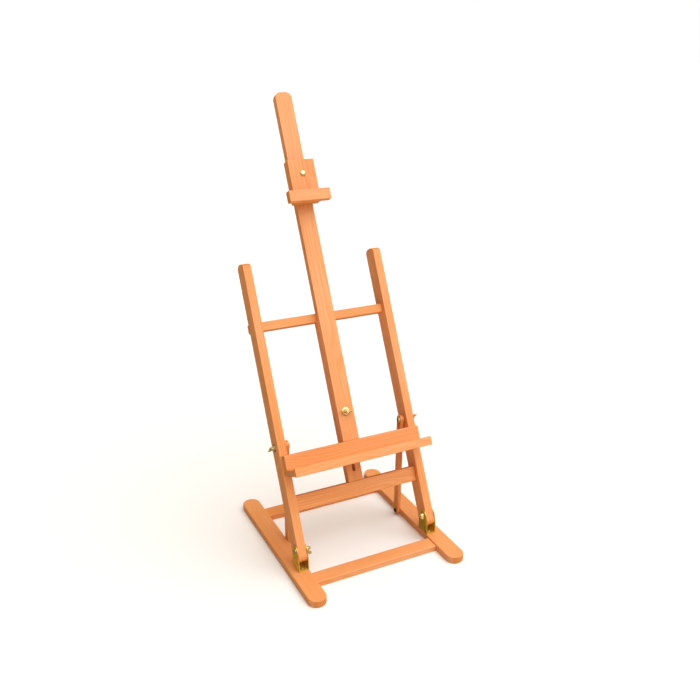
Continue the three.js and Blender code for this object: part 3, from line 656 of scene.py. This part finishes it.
def brass(name, light, dark, wear=1.0, lacquer=0.8, shine=0.75):
    """Brass, a little uneven, with fine scratches and some tarnish. lacquer is its clear coat."""
    material, shader, start = new_material(name)
    place = start.node("ShaderNodeTexCoord", out=3)
    cloud = place.noise((90, 90, 90), 3.0)
    scratch = place.noise((2600, 240, 2600), 2.0, 0.7)
    tarnish = cloud.smooth(0.5, 0.72)
    colour = tarnish.mix(light, dark)
    gloss = 0.2 + cloud * 0.14 * wear + scratch.smooth(0.5, 0.75) * 0.12 * wear
    relief = scratch * 0.4 + cloud * 0.6
    bump = start.node(
        "ShaderNodeBump", None, {"Strength": 0.25 * wear, "Distance": 0.0002, "Height": relief}
    )
    feed(shader, Base_Color=colour, Roughness=gloss, Normal=bump)
    shader.inputs["Metallic"].default_value = shine
    shader.inputs["Coat Weight"].default_value = lacquer
    shader.inputs["Coat Roughness"].default_value = 0.15
    return material


plate_brass = brass("bent brass plate", OLIVE_BRASS, BROWN_BRASS, 1.6, 0.0, 0.5)
PLATE = 0.002
SHOULDER = 0.024
ROUND_TOP = 0.0125
BEND_ROUND = 0.0026
PLATE_ARRIS = 0.00035

for side in ("left", "right"):
    node = f"bracket_{side}"
    low, high = extent(node)
    bpy.ops.object.select_all(action="DESELECT")
    bpy.ops.mesh.primitive_plane_add(
        size=1, location=((low.x + high.x) / 2, (low.y + high.y) / 2, low.z)
    )
    strip = bpy.context.object
    strip.name = f"{node}_strip"
    strip.scale = (high.x - low.x, high.y - low.y, 1)
    bpy.ops.object.transform_apply(location=True, rotation=True, scale=True)
    edit(strip)
    choose(strip, "EDGE", lambda e: runs(e, 1))
    bpy.ops.mesh.extrude_region_move(TRANSFORM_OT_translate={"value": (0, 0, SHOULDER)})
    rise = high.z - low.z - SHOULDER
    bpy.ops.mesh.extrude_region_move(TRANSFORM_OT_translate={"value": (0, 0, rise)})
    half = (high.y - low.y) / 2
    reach = math.hypot(half, rise - ROUND_TOP)
    tangent = math.acos(ROUND_TOP / reach) - math.atan2(rise - ROUND_TOP, half)
    corner = ROUND_TOP * (1 - math.sin(tangent)) / math.cos(tangent)
    bpy.ops.transform.resize(value=(1, corner / half, 1))
    choose(strip, "VERT", lambda v: v.co.z > high.z - NEAR)
    bpy.ops.mesh.bevel(offset=corner - HAIR / 2, segments=12, affect="VERTICES")
    choose(strip, "EDGE", lambda e: runs(e, 1) and middle(e).z < low.z + NEAR)
    bpy.ops.mesh.bevel(offset=BEND_ROUND, segments=6, affect="EDGES")
    bpy.ops.mesh.select_all(action="SELECT")
    bpy.ops.mesh.normals_make_consistent(inside=False)
    leave()
    floor_up = [f for f in strip.data.polygons if abs(f.normal.z) > 0.99][0].normal.z > 0
    apply_modifier(strip, "SOLIDIFY", thickness=PLATE, offset=1.0 if floor_up else -1.0)
    soften(strip, PLATE_ARRIS, 2)
    stand_in(strip, node, plate_brass)

# ---------------------------------------------------------------- Bolts
# Turned brass bolts with a low domed head, a plain shank and a thread at the end. All but the
# guide bolt take a wing nut. Only slots are cut in the laths here: no round hole is cut for a
# bolt, stud or screw, and each passes through the solid piece that it holds.

nut_brass = brass("cast brass", BRIGHT_BRASS, DULL_BRASS, 1.6)
bolt_brass = brass("turned brass", BRIGHT_BRASS, DULL_BRASS, 0.8)
PITCH = 0.001


def turned_piece(name, profile, steps=40):
    """A profile of (radius, height) spun about Z by the spin operator."""
    mesh = bpy.data.meshes.new(name)
    piece = bpy.data.objects.new(name, mesh)
    bpy.context.scene.collection.objects.link(piece)
    points = [(radius, 0, height) for radius, height in profile]
    mesh.from_pydata(points, [(i, i + 1) for i in range(len(points) - 1)], [])
    edit(piece)
    bpy.ops.mesh.select_all(action="SELECT")
    bpy.ops.mesh.spin(
        steps=steps, angle=2 * math.pi, center=(0, 0, 0), axis=(0, 0, 1), use_auto_merge=True
    )
    bpy.ops.mesh.select_all(action="SELECT")
    bpy.ops.mesh.remove_doubles(threshold=0.000005)
    bpy.ops.mesh.normals_make_consistent(inside=False)
    leave()
    return piece


def dome_profile(radius, height):
    rim = 0.0007
    steps = 8
    points = [(radius - 0.0003, 0), (radius, 0.0002), (radius, rim)]
    for i in range(1, steps):
        angle = math.pi / 2 * i / steps
        points.append((radius * math.cos(angle), rim + (height - rim) * math.sin(angle)))
    return points + [(0, height)]


def shank_profile(radius, length, thread):
    """From the tip up to the head. The thread's ridges stand between root and crest."""
    points = [(0, -length), (radius * 0.72, -length), (radius * 0.86, -length + 0.0004)]
    turns = int(thread / PITCH)
    for i in range(turns):
        height = -length + 0.0005 + i * PITCH
        points.append((radius * 0.86, height))
        points.append((radius, height + PITCH * 0.5))
    return points + [(radius, -length + 0.0005 + turns * PITCH), (radius, 0)]


def smooth_by_angle(piece, angle=40):
    bpy.ops.object.select_all(action="DESELECT")
    piece.select_set(True)
    bpy.context.view_layer.objects.active = piece
    bpy.ops.object.shade_smooth_by_angle(angle=math.radians(angle))


def axis_frame(direction, spin=0.0):
    """Matrix that takes +Z to a direction, after a turn about Z."""
    turn = Vector((0, 0, 1)).rotation_difference(Vector(direction)).to_matrix()
    return turn @ Matrix.Rotation(spin, 3, "Z")


def seat_on_axis(node, direction):
    """The point on a round CAD node's own axis at its lowest end, and the node's length."""
    turn = axis_frame(direction)
    low, high = extent(node, turn)
    spot = (low + high) / 2
    spot.z = low.z
    return turn @ spot, high.z - low.z


def place_turned(piece, point, direction, spin=0.0):
    piece.matrix_world = Matrix.Translation(point) @ axis_frame(direction, spin).to_4x4()


X_AXIS, N_AXIS = (SLOPE.col[i].copy() for i in range(2))
HEAD_HEIGHT = 0.0037
BOLT_HEAD = 0.007
SHANK = 0.003
LONG_THREAD = 0.016

bolts = (
    ("pivot_bolt_left", -X_AXIS, 0.014),
    ("pivot_bolt_right", X_AXIS, 0.014),
    ("strut_bolt_left", X_AXIS, 0.014),
    ("strut_bolt_right", -X_AXIS, 0.014),
    ("mast_bolt", N_AXIS, LONG_THREAD),
    ("guide_bolt", N_AXIS, 0.010),
    ("clamp_bolt", -N_AXIS, LONG_THREAD),
)
for node, direction, thread in bolts:
    tip, length = seat_on_axis(node, direction)
    shank = length - HEAD_HEIGHT
    profile = shank_profile(SHANK, shank, thread) + dome_profile(BOLT_HEAD, HEAD_HEIGHT)
    bolt = turned_piece(f"{node}_turned", profile)
    smooth_by_angle(bolt)
    place_turned(bolt, tip + direction * shank, direction)
    stand_in(bolt, node, bolt_brass)

tip, length = seat_on_axis("tray_stud", N_AXIS)
profile = shank_profile(SHANK, length, LONG_THREAD) + [(0, 0)]
stud = turned_piece("tray_stud_turned", profile)
smooth_by_angle(stud)
place_turned(stud, tip, -N_AXIS)
stand_in(stud, "tray_stud", bolt_brass)

# ---------------------------------------------------------------- Washers
# Stamped brass rings with rolled edges. They sit loose on the bolts, under the nuts and heads,
# and a thicker one spaces each strut from its upright.

washers = (
    ("strut_spacer_left", X_AXIS),
    ("strut_spacer_right", X_AXIS),
    ("strut_washer_left", X_AXIS),
    ("strut_washer_right", X_AXIS),
    ("mast_washer_front", N_AXIS),
    ("mast_washer_rear", N_AXIS),
    ("guide_washer", N_AXIS),
    ("tray_washer", N_AXIS),
    ("clamp_washer", N_AXIS),
)
HOLE = 0.0033
ROLL = 0.00035
for node, direction in washers:
    seat, thick = seat_on_axis(node, direction)
    turn = axis_frame(direction)
    low, high = extent(node, turn)
    outer = (high.x - low.x) / 2
    profile = [
        (HOLE, ROLL),
        (HOLE + ROLL, 0),
        (outer - ROLL, 0),
        (outer, ROLL),
        (outer, thick - ROLL),
        (outer - ROLL, thick),
        (HOLE + ROLL, thick),
        (HOLE, thick - ROLL),
        (HOLE, ROLL),
    ]
    ring = turned_piece(f"{node}_ring", profile)
    smooth_by_angle(ring, 50)
    place_turned(ring, seat, direction)
    stand_in(ring, node, bolt_brass)

# ---------------------------------------------------------------- Wing nuts
# Cast brass: a tapered hub with a collar, and two ears that curve up and outwards. Each turns
# on its bolt or stud and is tightened by hand.

NUT_RISE = 0.0125
EAR_THICK = 0.0026
EAR_ROUND = 0.0039
EAR_ARRIS = 0.00095


def curve(start, pull, end, shares):
    """Points on a bend from start to end that leans towards pull."""
    points = []
    for t in shares:
        a, b, c = ((1 - t) ** 2, 2 * t * (1 - t), t * t)
        points.append(tuple(a * p + b * q + c * r for p, q, r in zip(start, pull, end)))
    return points


def wing_nut(name, span):
    """The hub is turned, the ears are cut from plate and swelled, and all are fused."""
    hub = turned_piece(
        name,
        [
            (SHANK + 0.0001, 0.0),
            (0.0057, 0.0),
            (0.006, 0.0003),
            (0.006, 0.0011),
            (0.0055, 0.0016),
            (0.0052, 0.0026),
            (0.0046, 0.0066),
            (0.0043, 0.0071),
            (SHANK + 0.0005, 0.0071),
            (SHANK + 0.0001, 0.0067),
            (SHANK + 0.0001, 0.0),
        ],
    )
    reach = span / 2
    root = (0.0056, 0.0014)
    tip = (reach - 0.0006, NUT_RISE - 0.0054)
    outline = [(0.0034, 0.0014), root]
    outline += curve(root, (reach - 0.003, 0.0026), tip, [i / 8 for i in range(1, 8)])
    for i in range(15):
        angle = -0.4 + 2.6 * i / 14
        across = reach - EAR_ROUND + EAR_ROUND * math.cos(angle)
        outline.append((across, NUT_RISE - EAR_ROUND + EAR_ROUND * math.sin(angle)))
    hollow = (reach - 0.0084, 0.0066)
    outline += curve(outline[-1], hollow, (0.0034, 0.0062), [i / 7 for i in range(1, 8)])
    for way in (-1, 1):
        mesh = bpy.data.meshes.new("ear")
        wing = bpy.data.objects.new("ear", mesh)
        bpy.context.scene.collection.objects.link(wing)
        points = [(way * x, -EAR_THICK / 2, z) for x, z in outline]
        mesh.from_pydata(points, [], [list(range(len(points)))])
        edit(wing)
        bpy.ops.mesh.select_all(action="SELECT")
        bpy.ops.mesh.extrude_region_move(TRANSFORM_OT_translate={"value": (0, EAR_THICK, 0)})
        bpy.ops.mesh.select_all(action="SELECT")
        bpy.ops.mesh.normals_make_consistent(inside=False)
        leave()
        apply_modifier(
            wing,
            "BEVEL",
            width=EAR_ARRIS,
            segments=4,
            limit_method="ANGLE",
            angle_limit=math.radians(50),
        )
        apply_modifier(hub, "BOOLEAN", operation="UNION", solver="EXACT", object=wing)
        bpy.data.objects.remove(wing)
    smooth_by_angle(hub, 35)
    return hub


def ear_angle(node, point, direction):
    """Which way a CAD nut's ears point, as an angle about its axis, and how far they reach."""
    back = axis_frame(direction).transposed()
    spots = [back @ (corner.co - point) for corner in NODES[node].data.vertices]
    reach = max(math.hypot(spot.x, spot.y) for spot in spots)
    tips = [spot for spot in spots if math.hypot(spot.x, spot.y) > 0.8 * reach]
    tips = [spot for spot in tips if spot.dot(tips[0]) > 0]
    return math.atan2(sum(spot.y for spot in tips), sum(spot.x for spot in tips)), reach


nuts = (
    ("pivot_nut_left", X_AXIS),
    ("pivot_nut_right", -X_AXIS),
    ("strut_nut_left", -X_AXIS),
    ("strut_nut_right", X_AXIS),
    ("mast_nut", -N_AXIS),
    ("tray_nut", N_AXIS),
    ("clamp_nut", N_AXIS),
)
for node, direction in nuts:
    centre = Vector(JOINTS[f"{node}_turn"]["pos_m"])
    back = axis_frame(direction).transposed()
    base = min((back @ corner.co).z for corner in NODES[node].data.vertices)
    seat = centre + direction * (base - centre.dot(direction))
    spin, reach = ear_angle(node, seat, direction)
    nut = wing_nut(f"{node}_cast", 2 * round(reach, 4))
    place_turned(nut, seat, direction, spin)
    stand_in(nut, node, nut_brass)

# ---------------------------------------------------------------- Screws
# Round-headed screws with a cross recess: brass in the brackets and the top bar, and a
# bronzed one at the foot of each strut.


def bronze(name):
    material, shader, start = new_material(name)
    place = start.node("ShaderNodeTexCoord", out=3)
    cloud = place.noise((400, 400, 400), 2.0)
    colour = cloud.mix((0.10, 0.065, 0.04, 1), (0.2, 0.13, 0.075, 1))
    feed(shader, Base_Color=colour, Roughness=0.3 + cloud * 0.2)
    shader.inputs["Metallic"].default_value = 1.0
    return material


RECESS_WIDTH = 0.0008
RECESS_DEPTH = 0.0008
RECESS_SHARE = 0.55  # half the recess's span, as a share of the head's radius
BLADE_TOP = 0.02


def screw_piece(name, head, height, shank, length):
    profile = [(0, -length), (shank * 0.3, -length + 0.001), (shank, -length + 0.004), (shank, 0)]
    screw = turned_piece(name, profile + dome_profile(head, height), 32)
    for turn in (0, math.pi / 2):
        half = head * RECESS_SHARE
        low = (-half, -RECESS_WIDTH / 2, height - RECESS_DEPTH)
        blade = block("recess", low, (half, RECESS_WIDTH / 2, BLADE_TOP))
        blade.rotation_euler.z = turn
        bpy.context.view_layer.update()
        cut(screw, blade)
    smooth_by_angle(screw)
    return screw


dark = bronze("bronzed screw")
STRUT_SCREW = (0.005, 0.0037, 0.0025, dark)  # head radius, head height, shank radius, material
SMALL_SCREW = (0.0036, 0.0014, 0.0019, bolt_brass)
UP = Vector((0, 0, 1))

screws = (
    ("strut_screw_left", X_AXIS, STRUT_SCREW),
    ("strut_screw_right", -X_AXIS, STRUT_SCREW),
    ("top_bar_screw_left", N_AXIS, SMALL_SCREW),
    ("top_bar_screw_right", N_AXIS, SMALL_SCREW),
    ("bracket_screw_left_1", UP, SMALL_SCREW),
    ("bracket_screw_left_2", UP, SMALL_SCREW),
    ("bracket_screw_right_1", UP, SMALL_SCREW),
    ("bracket_screw_right_2", UP, SMALL_SCREW),
)
for number, (node, direction, sizes) in enumerate(screws):
    head, height, shank, material = sizes
    tip, length = seat_on_axis(node, direction)
    screw = screw_piece(f"{node}_turned", head, height, shank, length - height)
    place_turned(screw, tip + direction * (length - height), direction, 0.5 + 1.1 * number)
    stand_in(screw, node, material)
